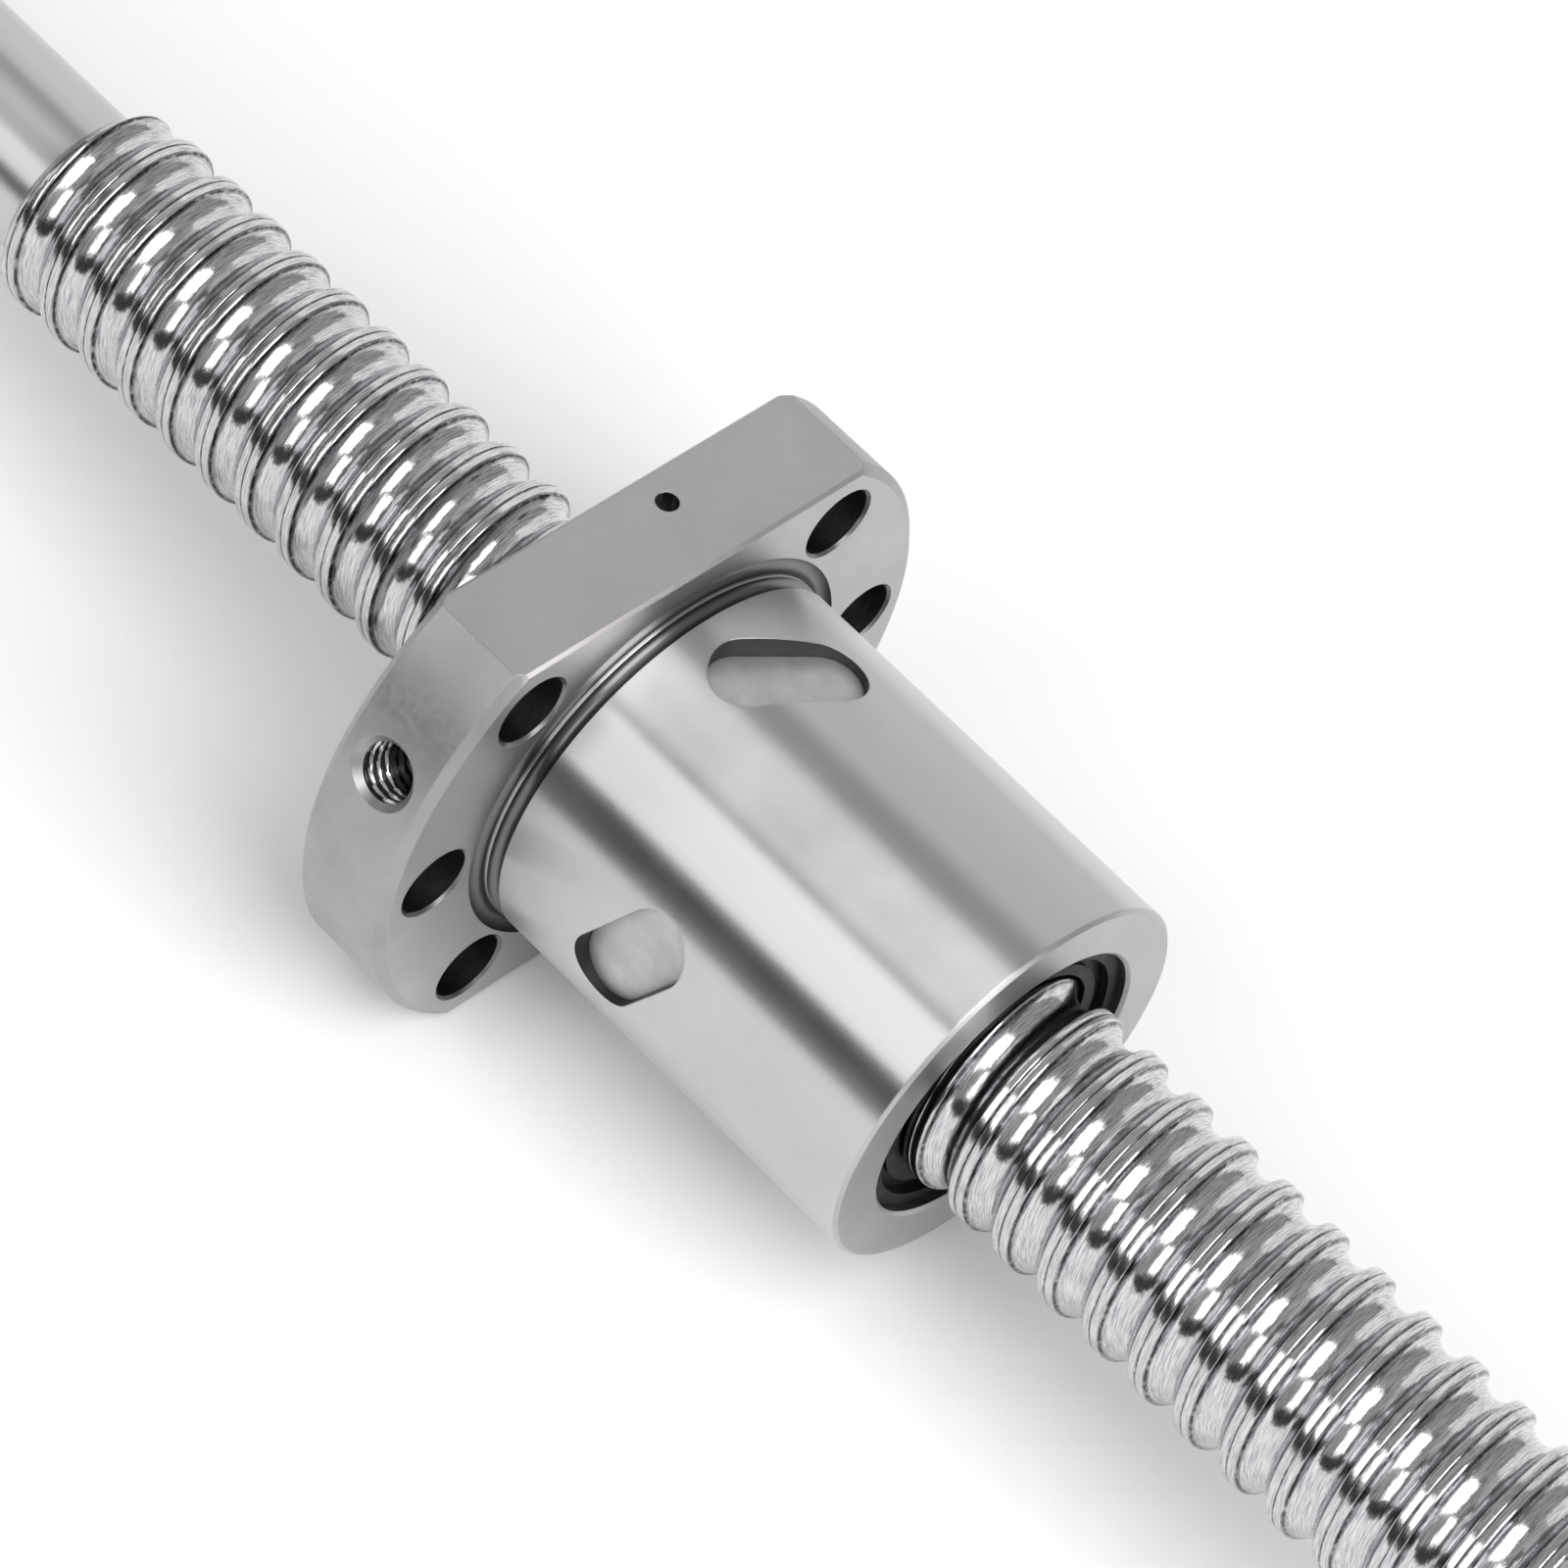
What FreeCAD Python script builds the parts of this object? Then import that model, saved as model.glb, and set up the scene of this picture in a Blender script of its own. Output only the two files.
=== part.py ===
import FreeCAD, Part
import math
import os
import Sketcher

# Flanged ball screw nut on its screw shaft, in millimetres.
# X runs along the screw from the flange towards the barrel's end, Z is up, square to the flange's
# two flats, and the origin is the centre of the flange's mounting face.
# Angles about the screw are measured from +Y towards +Z, in degrees, which is the way a
# right-hand track climbs along +X.

SIZES = [
    # the ball track, shared by the screw, the nut, the balls, the deflectors and the wiper
    ("lead", 5),
    ("track_phase", 0.6),  # place along X of a turn of the track at angle zero
    ("ball_radius", 1.5875),
    ("ball_path_radius", 10.4),
    ("ball_clearance", 0.15),
    ("ball_spacing_gap", 0.1),
    # screw shaft
    ("crest_radius", 9.9),
    ("thread_left", -71),
    ("thread_right", 102),
    ("thread_chamfer", 1),
    ("journal_radius", 7.5),
    ("journal_length", 76),
    ("journal_chamfer", 1),
    # nut barrel
    ("barrel_radius", 18),
    ("barrel_chamfer", 0.3),
    ("crest_gap", 0.35),
    ("recess_radius", 13.4),
    ("recess_depth", 5),
    ("recess_chamfer", 0.3),
    # flange
    ("flange_radius", 29),
    ("flange_thickness", 10),
    ("rim_chamfer", 0.8),
    ("flat_height", 22),
    ("flat_chamfer", 0.3),
    ("relief_width", 1.6),
    ("relief_depth", 0.8),
    ("neck_width", 1.8),
    ("neck_depth", 0.6),
    ("bolt_circle_radius", 23.5),
    ("bolt_hole_radius", 3.3),
    ("bolt_hole_chamfer", 0.25),
    ("bolt_spread_angle", 45),
    # oil port in the rim, and the small blind hole in the top flat
    ("port_angle", 157.5),
    ("port_tap_radius", 2.5),
    ("port_tap_depth", 9),
    ("port_mouth_radius", 3.2),
    ("oil_hole_radius", 1.2),
    ("dot_place", -6.8),
    ("dot_offset", 2.8),
    ("dot_radius", 1),
    ("dot_depth", 2.5),
    # deflector windows and inserts
    ("window_angle", 82.8),
    ("window_width", 6.5),
    ("window_length", 13.3),
    ("window_tilt", 30),
    ("window_turns_apart", 1.25),
    ("window_to_recess", 8),
    ("insert_gap", 0.03),
    ("insert_top_depth", 2),
    ("return_half_angle", 32),
    ("channel_clearance", 0.25),
    ("channel_run_out", 8),
    # wiper in the barrel's end
    ("wiper_fit_gap", 0.05),
    ("wiper_bore_gap", 0.25),
    ("wiper_rib_clearance", 0.25),
    ("wiper_rib_half_angle", 40),
    ("wiper_depth", 1),
    ("wiper_step_radius", 12.2),
    ("wiper_step_depth", 1),
    ("wiper_lip_radius", 11.2),
    ("wiper_lip_rise", 0.5),
    # seal ring in the flange's bore
    ("ring_mouth_radius", 12.2),
    ("ring_mouth_chamfer", 0.5),
    ("ring_groove_radius", 13.2),
    ("ring_groove_start", 1),
    ("ring_groove_width", 2.4),
    ("ring_gap", 0.2),
    ("ring_bore_gap", 0.15),
]

CIRCUITS = 4
FIRST_WINDOW_TURN = 1  # whole turns of the track before the first window
TRACK_SIDES = 12  # straight sides round the track's section, six of them in each half
CHANNEL_STATIONS = 17
ROUTE_STEPS = 360
BEYOND = 2  # cutting tools overshoot the faces they cut by this much
SAME = 1e-6  # two lengths closer than this are one

BORE = "(Sizes.crest_radius + Sizes.crest_gap)"
TRACK = "(Sizes.ball_radius + Sizes.ball_clearance)"
JOURNAL_END = "(Sizes.thread_left - Sizes.journal_length)"
RELIEF = "(Sizes.barrel_radius + Sizes.relief_width)"
FLANGE_BACK = "(-Sizes.flange_thickness)"
RING_GROOVE_LEFT = f"({FLANGE_BACK} + Sizes.ring_groove_start)"
RING_GROOVE_RIGHT = f"({RING_GROOVE_LEFT} + Sizes.ring_groove_width)"

os.makedirs("parts", exist_ok=True)
doc = FreeCAD.newDocument("BallScrewNut")


def fill_sheet():
    """The spreadsheet of driving dimensions, one named cell a row."""
    cells = doc.addObject("Spreadsheet::Sheet", "Sizes")
    for row, (alias, value) in enumerate(SIZES, 1):
        cells.set(f"A{row}", alias)
        cells.set(f"B{row}", str(value))
        cells.setAlias(f"B{row}", alias)
    doc.recompute()
    return cells


sheet = fill_sheet()


def size(expression):
    """The number that an expression of the sheet's cells gives now."""
    value = sheet.evalExpression(expression)
    return float(getattr(value, "Value", value))


def origin_feature(body, role):
    return next(f for f in body.Origin.OriginFeatures if f.Role == role)


def new_sketch(body, name, plane):
    sketch = body.newObject("Sketcher::SketchObject", name)
    sketch.AttachmentSupport = [(origin_feature(body, plane), "")]
    sketch.MapMode = "FlatFace"
    return sketch


def hold(sketch, kind, places, expression):
    """A dimension of the sketch that follows an expression."""
    number = sketch.addConstraint(Sketcher.Constraint(kind, *places, size(expression)))
    sketch.setExpression(f"Constraints[{number}]", expression)


def add_outline(sketch, corners):
    """Close straight lines round the corners, each a pair of expressions held from the origin."""
    points = [FreeCAD.Vector(size(along), size(across), 0) for along, across in corners]
    first = sketch.GeometryCount
    count = len(points)
    for number, point in enumerate(points):
        sketch.addGeometry(Part.LineSegment(point, points[(number + 1) % count]))
    for number, (along, across) in enumerate(corners):
        line, following = first + number, first + (number + 1) % count
        sketch.addConstraint(Sketcher.Constraint("Coincident", line, 2, following, 1))
        hold(sketch, "DistanceX", (-1, 1, line, 1), along)
        hold(sketch, "DistanceY", (-1, 1, line, 1), across)


def add_circle(sketch, along, across, radius):
    centre = FreeCAD.Vector(size(along), size(across), 0)
    normal = FreeCAD.Vector(0, 0, 1)
    number = sketch.addGeometry(Part.Circle(centre, normal, size(radius)))
    hold(sketch, "DistanceX", (-1, 1, number, 3), along)
    hold(sketch, "DistanceY", (-1, 1, number, 3), across)
    hold(sketch, "Radius", (number,), radius)


def add_obround(sketch, half_run_x, half_run_y, radius):
    """A slot outline centred on the sketch's origin, whose end centres are at +/- the half run."""
    run = FreeCAD.Vector(size(half_run_x), size(half_run_y), 0)
    side = FreeCAD.Vector(-run.y, run.x, 0).normalize() * size(radius)
    heading = math.atan2(run.y, run.x)
    quarter, normal = math.pi / 2, FreeCAD.Vector(0, 0, 1)
    ends = []
    for centre, turn in ((run, heading), (-run, heading + math.pi)):
        circle = Part.Circle(centre, normal, side.Length)
        arc = Part.ArcOfCircle(circle, turn - quarter, turn + quarter)
        ends.append(sketch.addGeometry(arc))
    near = sketch.addGeometry(Part.LineSegment(run + side, -run + side))
    far = sketch.addGeometry(Part.LineSegment(-run - side, run - side))
    for one, one_end, other, other_end in (
        (ends[0], 2, near, 1),
        (near, 2, ends[1], 1),
        (ends[1], 2, far, 1),
        (far, 2, ends[0], 1),
    ):
        sketch.addConstraint(Sketcher.Constraint("Tangent", one, one_end, other, other_end))
    hold(sketch, "DistanceX", (-1, 1, ends[0], 3), half_run_x)
    hold(sketch, "DistanceY", (-1, 1, ends[0], 3), half_run_y)
    hold(sketch, "DistanceX", (-1, 1, ends[1], 3), f"-({half_run_x})")
    hold(sketch, "DistanceY", (-1, 1, ends[1], 3), f"-({half_run_y})")
    hold(sketch, "Radius", (ends[0],), radius)


def new_body(label):
    body = doc.addObject("PartDesign::Body", label)
    body.Label = label
    return body


def swing_sketch(sketch, place, angle):
    """Move a sketch of the XY plane along the screw's axis and swing it about that axis."""
    swing = FreeCAD.Rotation(FreeCAD.Vector(1, 0, 0), size(angle))
    sketch.AttachmentOffset = FreeCAD.Placement(FreeCAD.Vector(size(place), 0, 0), swing)
    sketch.setExpression("AttachmentOffset.Base.x", place)
    sketch.setExpression("AttachmentOffset.Rotation.Angle", angle)


def turn_profile(body, name, corners, kind="PartDesign::Revolution", seam="0"):
    """Revolve an outline of (along X, radius) corners about the screw's axis, from a seam angle."""
    sketch = new_sketch(body, f"{name}_profile", "XY_Plane")
    add_outline(sketch, corners)
    swing_sketch(sketch, "0", seam)
    turned = body.newObject(kind, name)
    turned.Profile = sketch
    turned.ReferenceAxis = (origin_feature(body, "X_Axis"), [""])
    turned.Angle = 360
    doc.recompute()
    return turned


def wind_track(body, name, kind, first_turn, last_turn, corners):
    """Sweep a section along the track's helix, from one whole turn of it to another."""
    sketch = new_sketch(body, f"{name}_section", "XY_Plane")
    start = f"Sizes.track_phase + ({first_turn}) * Sizes.lead"
    add_outline(sketch, [(f"{start} + {along}", radius) for along, radius in corners])
    helix = body.newObject(kind, name)
    helix.Profile = sketch
    helix.ReferenceAxis = (origin_feature(body, "X_Axis"), [""])
    helix.Mode = "pitch-turns-angle"
    helix.setExpression("Pitch", "Sizes.lead")
    helix.setExpression("Turns", f"({last_turn}) - ({first_turn})")
    helix.LeftHanded = False
    helix.Reversed = False
    doc.recompute()
    return helix


def track_section():
    """The round ball track's section as a polygon whose sides touch the circle."""
    step = 360 / TRACK_SIDES
    reach = f"{TRACK} / cos({step / 2} deg)"
    return [
        (
            f"{reach} * sin({number * step} deg)",
            f"Sizes.ball_path_radius - {reach} * cos({number * step} deg)",
        )
        for number in range(TRACK_SIDES)
    ]


def turn_before(place):
    """The last whole turn of the track that lies clear before a place along X."""
    return f"floor(({place} - {TRACK} - Sizes.track_phase) / Sizes.lead - 1)"


def turn_after(place):
    """The first whole turn of the track that lies clear beyond a place along X."""
    return f"ceil(({place} + {TRACK} - Sizes.track_phase) / Sizes.lead)"


def window(number):
    """Place along X and angle of one deflector window, as expressions.

    A window's centre lies on the land, half a lead from the track on either side of it.
    """
    turns = f"{FIRST_WINDOW_TURN} + 1 / 2 + {number} * Sizes.window_turns_apart"
    place = f"Sizes.track_phase + ({turns} + Sizes.window_angle / 360) * Sizes.lead"
    angle = f"Sizes.window_angle + {number} * 360 * (Sizes.window_turns_apart - 1)"
    return place, angle


RECESS_FLOOR = f"({window(CIRCUITS - 1)[0]} + Sizes.window_to_recess)"
BARREL_END = f"({RECESS_FLOOR} + Sizes.recess_depth)"
WIPER_FACE = f"({BARREL_END} - Sizes.wiper_depth)"
BETWEEN_WINDOWS = "(Sizes.window_angle + 180 * (Sizes.window_turns_apart - 1))"


def add_window_outline(body, name, number, gap):
    """The obround of one deflector window, smaller all round by a gap."""
    sketch = new_sketch(body, name, "XY_Plane")
    half_run = "(Sizes.window_length - Sizes.window_width) / 2"
    add_obround(
        sketch,
        f"{half_run} * sin(Sizes.window_tilt * 1 deg)",
        f"{half_run} * cos(Sizes.window_tilt * 1 deg)",
        f"Sizes.window_width / 2 - {gap}",
    )
    place, angle = window(number)
    swing_sketch(sketch, place, f"{angle} - 90")
    return sketch


def make_screw():
    """Rolled screw: a turned shaft with a plain journal, and the ball track wound into it."""
    body = new_body("screw_shaft")
    turn_profile(
        body,
        "shaft",
        [
            (JOURNAL_END, "0"),
            (JOURNAL_END, "Sizes.journal_radius - Sizes.journal_chamfer"),
            (f"{JOURNAL_END} + Sizes.journal_chamfer", "Sizes.journal_radius"),
            ("Sizes.thread_left", "Sizes.journal_radius"),
            ("Sizes.thread_left", "Sizes.crest_radius - Sizes.thread_chamfer"),
            ("Sizes.thread_left + Sizes.thread_chamfer", "Sizes.crest_radius"),
            ("Sizes.thread_right - Sizes.thread_chamfer", "Sizes.crest_radius"),
            ("Sizes.thread_right", "Sizes.crest_radius - Sizes.thread_chamfer"),
            ("Sizes.thread_right", "0"),
        ],
    )
    wind_track(
        body,
        "ball_track",
        "PartDesign::SubtractiveHelix",
        turn_before("Sizes.thread_left"),
        turn_after("Sizes.thread_right"),
        track_section(),
    )
    return body


def turn_nut_blank(body):
    """Flange, relief, neck, barrel and stepped bore, turned in one, with the seam off the windows."""
    turn_profile(
        body,
        "blank",
        [
            (FLANGE_BACK, "Sizes.ring_mouth_radius + Sizes.ring_mouth_chamfer"),
            (FLANGE_BACK, "Sizes.flange_radius - Sizes.rim_chamfer"),
            (f"{FLANGE_BACK} + Sizes.rim_chamfer", "Sizes.flange_radius"),
            ("-Sizes.rim_chamfer", "Sizes.flange_radius"),
            ("0", "Sizes.flange_radius - Sizes.rim_chamfer"),
            ("0", RELIEF),
            ("-Sizes.relief_depth", f"{RELIEF} - Sizes.relief_depth"),
            ("-Sizes.relief_depth", "Sizes.barrel_radius - Sizes.neck_depth"),
            ("Sizes.neck_width", "Sizes.barrel_radius - Sizes.neck_depth"),
            ("Sizes.neck_width", "Sizes.barrel_radius"),
            (f"{BARREL_END} - Sizes.barrel_chamfer", "Sizes.barrel_radius"),
            (BARREL_END, "Sizes.barrel_radius - Sizes.barrel_chamfer"),
            (BARREL_END, "Sizes.recess_radius + Sizes.recess_chamfer"),
            (f"{BARREL_END} - Sizes.recess_chamfer", "Sizes.recess_radius"),
            (RECESS_FLOOR, "Sizes.recess_radius"),
            (RECESS_FLOOR, BORE),
            (RING_GROOVE_RIGHT, BORE),
            (RING_GROOVE_RIGHT, "Sizes.ring_groove_radius"),
            (RING_GROOVE_LEFT, "Sizes.ring_groove_radius"),
            (RING_GROOVE_LEFT, "Sizes.ring_mouth_radius"),
            (f"{FLANGE_BACK} + Sizes.ring_mouth_chamfer", "Sizes.ring_mouth_radius"),
        ],
        seam=BETWEEN_WINDOWS,
    )


def cut_flats(body):
    """The two parallel flats of the flange, with their edges broken at both faces."""
    sketch = new_sketch(body, "flats_outline", "YZ_Plane")
    reach = f"Sizes.flange_radius + {BEYOND}"
    for sign in ("", "-"):
        near, far = f"{sign}Sizes.flat_height", f"{sign}({reach})"
        add_outline(
            sketch, [(f"-({reach})", near), (reach, near), (reach, far), (f"-({reach})", far)]
        )
    flats = body.newObject("PartDesign::Pocket", "flats")
    flats.Profile = sketch
    flats.Type = "Length"
    flats.setExpression("Length", "Sizes.flange_thickness")
    flats.Reversed = False
    doc.recompute()
    broken = body.newObject("PartDesign::Chamfer", "flat_edges")
    height = size("Sizes.flat_height")
    edges = [
        f"Edge{number}"
        for number, edge in enumerate(flats.Shape.Edges, 1)
        if abs(abs(edge.CenterOfMass.z) - height) < SAME and edge.BoundBox.XLength < SAME
    ]
    broken.Base = (flats, edges)
    broken.setExpression("Size", "Sizes.flat_chamfer")
    body.Tip = broken
    doc.recompute()


def drill_bolt_holes(body):
    """Three through holes at one side of the barrel, and the same three across from them."""
    hole = "Sizes.bolt_hole_radius"
    mouth = f"{hole} + Sizes.bolt_hole_chamfer"
    holes = []
    for count, turn in enumerate((-1, 0, 1), 1):
        sketch = new_sketch(body, f"bolt_hole_{count}_profile", "XY_Plane")
        add_outline(
            sketch,
            [
                (f"{FLANGE_BACK} - {BEYOND}", "0"),
                (f"{FLANGE_BACK} - {BEYOND}", mouth),
                (FLANGE_BACK, mouth),
                (f"{FLANGE_BACK} + Sizes.bolt_hole_chamfer", hole),
                ("-Sizes.bolt_hole_chamfer", hole),
                ("0", mouth),
                (f"{BEYOND}", mouth),
                (f"{BEYOND}", "0"),
            ],
        )
        angle = f"({turn} * Sizes.bolt_spread_angle * 1 deg)"
        across, up = (f"Sizes.bolt_circle_radius * {part}{angle}" for part in ("cos", "sin"))
        centre = FreeCAD.Vector(0, size(across), size(up))
        sketch.AttachmentOffset = FreeCAD.Placement(centre, FreeCAD.Rotation())
        sketch.setExpression("AttachmentOffset.Base.y", across)
        sketch.setExpression("AttachmentOffset.Base.z", up)
        drilled = body.newObject("PartDesign::Groove", f"bolt_hole_{count}")
        drilled.Profile = sketch
        drilled.ReferenceAxis = (sketch, ["H_Axis"])
        drilled.Angle = 360
        doc.recompute()
        holes.append(drilled)
    others = body.newObject("PartDesign::PolarPattern", "bolt_holes_across")
    others.Originals = holes
    others.Axis = (origin_feature(body, "X_Axis"), [""])
    others.Angle = 360
    others.Occurrences = 2
    body.Tip = others
    doc.recompute()


def drill_oil_port(body):
    """Tapping-size port in the rim, countersunk, with a fine hole on into the bore."""
    sketch = new_sketch(body, "port_profile", "XY_Plane")
    rim, tap, oil = "Sizes.flange_radius", "Sizes.port_tap_radius", "Sizes.oil_hole_radius"
    mouth = "Sizes.port_mouth_radius"
    floor = f"({rim} - Sizes.port_tap_depth)"
    add_outline(
        sketch,
        [
            ("0", "Sizes.crest_radius"),
            (oil, "Sizes.crest_radius"),
            (oil, f"{floor} - {tap} + {oil}"),
            (tap, floor),
            (tap, f"{rim} - ({mouth} - {tap})"),
            (f"{mouth} + {BEYOND}", f"{rim} + {BEYOND}"),
            ("0", f"{rim} + {BEYOND}"),
        ],
    )
    swing_sketch(sketch, "-Sizes.flange_thickness / 2", "Sizes.port_angle")
    port = body.newObject("PartDesign::Groove", "oil_port")
    port.Profile = sketch
    port.ReferenceAxis = (sketch, ["V_Axis"])
    port.Angle = 360
    doc.recompute()


def drill_dot(body):
    """Small blind hole in the top flat."""
    sketch = new_sketch(body, "dot_place", "XY_Plane")
    add_circle(sketch, "Sizes.dot_place", "Sizes.dot_offset", "Sizes.dot_radius")
    sketch.AttachmentOffset = FreeCAD.Placement(
        FreeCAD.Vector(0, 0, size("Sizes.flat_height")), FreeCAD.Rotation()
    )
    sketch.setExpression("AttachmentOffset.Base.z", "Sizes.flat_height")
    dot = body.newObject("PartDesign::Pocket", "dot")
    dot.Profile = sketch
    dot.Type = "Length"
    dot.setExpression("Length", "Sizes.dot_depth")
    doc.recompute()


def make_nut():
    """Hardened nut: turned blank, milled flats, drilled holes, wound track and windows."""
    body = new_body("nut_body")
    turn_nut_blank(body)
    cut_flats(body)
    drill_bolt_holes(body)
    drill_oil_port(body)
    drill_dot(body)
    for number in range(CIRCUITS):
        outline = add_window_outline(body, f"window_outline_{number + 1}", number, "0")
        opening = body.newObject("PartDesign::Pocket", f"window_{number + 1}")
        opening.Profile = outline
        opening.Type = "Length"
        opening.Reversed = True
        opening.setExpression("Length", f"Sizes.barrel_radius + {BEYOND}")
        doc.recompute()
    wind_track(
        body,
        "ball_track_inside",
        "PartDesign::SubtractiveHelix",
        turn_before(RING_GROOVE_RIGHT),
        turn_after(RECESS_FLOOR),
        track_section(),
    )
    return body


def on_screw(angle, place, radius):
    """A point from its angle about the screw, its place along X and its radius."""
    turn = math.radians(angle)
    return FreeCAD.Vector(place, radius * math.cos(turn), radius * math.sin(turn))


def route_point(number, swing):
    """Ball centre on one circuit, at a swing about the screw from its window's centre line.

    Beyond the return's half angle it lies on the track. Between, it crosses from one turn of the
    track to the one before it, and lifts just enough to pass the crest between them: it keeps the
    track's radius from the crest's nearer edge.
    """
    place, angle = (size(expression) for expression in window(number))
    lead, half_swing = size("Sizes.lead"), size("Sizes.return_half_angle")
    crest, path, track = (
        size(e) for e in ("Sizes.crest_radius", "Sizes.ball_path_radius", TRACK)
    )
    climb = lead * swing / 360
    if abs(swing) >= half_swing:
        turn_over = math.copysign(lead / 2, swing)
        return on_screw(angle + swing, place + climb - turn_over, path)
    reach = lead / 2 - lead * half_swing / 360
    offset = reach * math.cos(math.pi * (swing + half_swing) / (2 * half_swing))
    from_track = lead / 2 - abs(offset - climb)
    edge = math.sqrt(track**2 - (path - crest) ** 2)
    inside = max(edge - from_track, 0)
    radius = crest + math.sqrt(track**2 - inside**2)
    return on_screw(angle + swing, place + offset, radius)


def make_channel(number):
    """Round channel along a deflector's return path and a little of the track at its two ends."""
    half_swing = size("Sizes.return_half_angle + Sizes.channel_run_out")
    swings = [
        half_swing * (2 * station / (CHANNEL_STATIONS - 1) - 1)
        for station in range(CHANNEL_STATIONS)
    ]
    path = Part.BSplineCurve()
    path.interpolate([route_point(number, swing) for swing in swings])
    start, heading = path.value(path.FirstParameter), path.tangent(path.FirstParameter)[0]
    radius = size("Sizes.ball_radius + Sizes.channel_clearance")
    ring = Part.Wire(Part.makeCircle(radius, start, heading))
    channel = doc.addObject("Part::Feature", f"return_channel_{number + 1}")
    channel.Shape = Part.Wire(path.toShape()).makePipeShell([ring], True, False)
    return channel


def make_deflector(number, channel):
    """Obround insert that lies in its window, with the return channel in its inner face."""
    body = new_body(f"insert_{number + 1}")
    outline = add_window_outline(body, "insert_outline", number, "Sizes.insert_gap")
    block = body.newObject("PartDesign::Pad", "block")
    block.Profile = outline
    block.setExpression("Length", "Sizes.barrel_radius - Sizes.insert_top_depth")
    doc.recompute()
    end_view = new_sketch(body, "bore_outline", "YZ_Plane")
    add_circle(end_view, "0", "0", BORE)
    bore = body.newObject("PartDesign::Pocket", "bore")
    bore.Profile = end_view
    bore.Type = "ThroughAll"
    bore.Midplane = True
    doc.recompute()
    deflector = doc.addObject("Part::Cut", f"deflector_{number + 1}")
    deflector.Label = f"deflector_{number + 1}"
    deflector.Base = body
    deflector.Tool = channel
    return deflector


def ball_centres(number):
    """Even places along one circuit, round its loaded turn and back through its deflector."""
    half_swing = size("Sizes.return_half_angle")
    loaded_turn = 360 - 2 * half_swing
    loaded = [half_swing + loaded_turn * step / ROUTE_STEPS for step in range(ROUTE_STEPS)]
    back = [half_swing * (2 * step / ROUTE_STEPS - 1) for step in range(ROUTE_STEPS + 1)]
    route = [route_point(number, swing) for swing in loaded + back]
    along = [0.0]
    for one, other in zip(route, route[1:]):
        along.append(along[-1] + one.distanceToPoint(other))
    needed = size("2 * Sizes.ball_radius + Sizes.ball_spacing_gap")
    count = int(along[-1] // needed)
    centres, station = [], 0
    for ball in range(count):
        wanted = along[-1] * ball / count
        while along[station + 1] < wanted:
            station += 1
        share = (wanted - along[station]) / (along[station + 1] - along[station])
        centres.append(route[station] + (route[station + 1] - route[station]) * share)
    return centres


def make_ball_circuit(number):
    """The balls of one circuit, all alike."""
    balls = []
    for count, centre in enumerate(ball_centres(number), 1):
        ball = doc.addObject("Part::Sphere", f"ball_{number + 1}_{count}")
        ball.setExpression("Radius", "Sizes.ball_radius")
        ball.Placement = FreeCAD.Placement(centre, FreeCAD.Rotation())
        balls.append(ball)
    circuit = doc.addObject("Part::Compound", f"ball_circuit_{number + 1}")
    circuit.Label = f"ball_circuit_{number + 1}"
    circuit.Links = balls
    return circuit


def make_front_wiper():
    """Moulded wiper in the barrel's recess, with a rib of thread form that reaches in the track."""
    body = new_body("front_wiper")
    outside = "Sizes.recess_radius - Sizes.wiper_fit_gap"
    inside = "Sizes.crest_radius + Sizes.wiper_bore_gap"
    turn_profile(
        body,
        "ring",
        [
            (RECESS_FLOOR, inside),
            (RECESS_FLOOR, outside),
            (WIPER_FACE, outside),
            (WIPER_FACE, inside),
        ],
    )
    reach = f"({TRACK} - Sizes.wiper_rib_clearance)"
    corner = "Sizes.wiper_rib_half_angle"
    wind_track(
        body,
        "rib",
        "PartDesign::AdditiveHelix",
        turn_before(RECESS_FLOOR),
        turn_after(WIPER_FACE),
        [
            (
                f"{reach} * sin({angle} * 1 deg)",
                f"Sizes.ball_path_radius - {reach} * cos({angle} * 1 deg)",
            )
            for angle in ("-90", f"-{corner}", corner, "90")
        ],
    )
    root = "Sizes.journal_radius"
    beyond = f"2 * Sizes.lead + {BEYOND}"
    turn_profile(
        body,
        "back_trim",
        [
            (f"{RECESS_FLOOR} - ({beyond})", root),
            (f"{RECESS_FLOOR} - ({beyond})", outside),
            (RECESS_FLOOR, outside),
            (RECESS_FLOOR, root),
        ],
        "PartDesign::Groove",
    )
    step_floor = f"{WIPER_FACE} - Sizes.wiper_step_depth"
    lip_face = f"{step_floor} + Sizes.wiper_lip_rise"
    turn_profile(
        body,
        "front_steps",
        [
            (lip_face, root),
            (lip_face, "Sizes.wiper_lip_radius"),
            (step_floor, "Sizes.wiper_lip_radius"),
            (step_floor, "Sizes.wiper_step_radius"),
            (WIPER_FACE, "Sizes.wiper_step_radius"),
            (WIPER_FACE, "Sizes.barrel_radius"),
            (f"{WIPER_FACE} + {beyond}", "Sizes.barrel_radius"),
            (f"{WIPER_FACE} + {beyond}", root),
        ],
        "PartDesign::Groove",
    )
    return body


def make_rear_ring():
    """Plain seal ring, held between the lips of its groove and free to turn with the screw."""
    body = new_body("rear_seal_ring")
    inside = "Sizes.crest_radius + Sizes.ring_bore_gap"
    outside = "Sizes.ring_groove_radius - Sizes.ring_gap"
    left = f"{RING_GROOVE_LEFT} + Sizes.ring_gap"
    right = f"{RING_GROOVE_RIGHT} - Sizes.ring_gap"
    turn_profile(
        body, "ring", [(left, inside), (left, outside), (right, outside), (right, inside)]
    )
    return body


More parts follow.
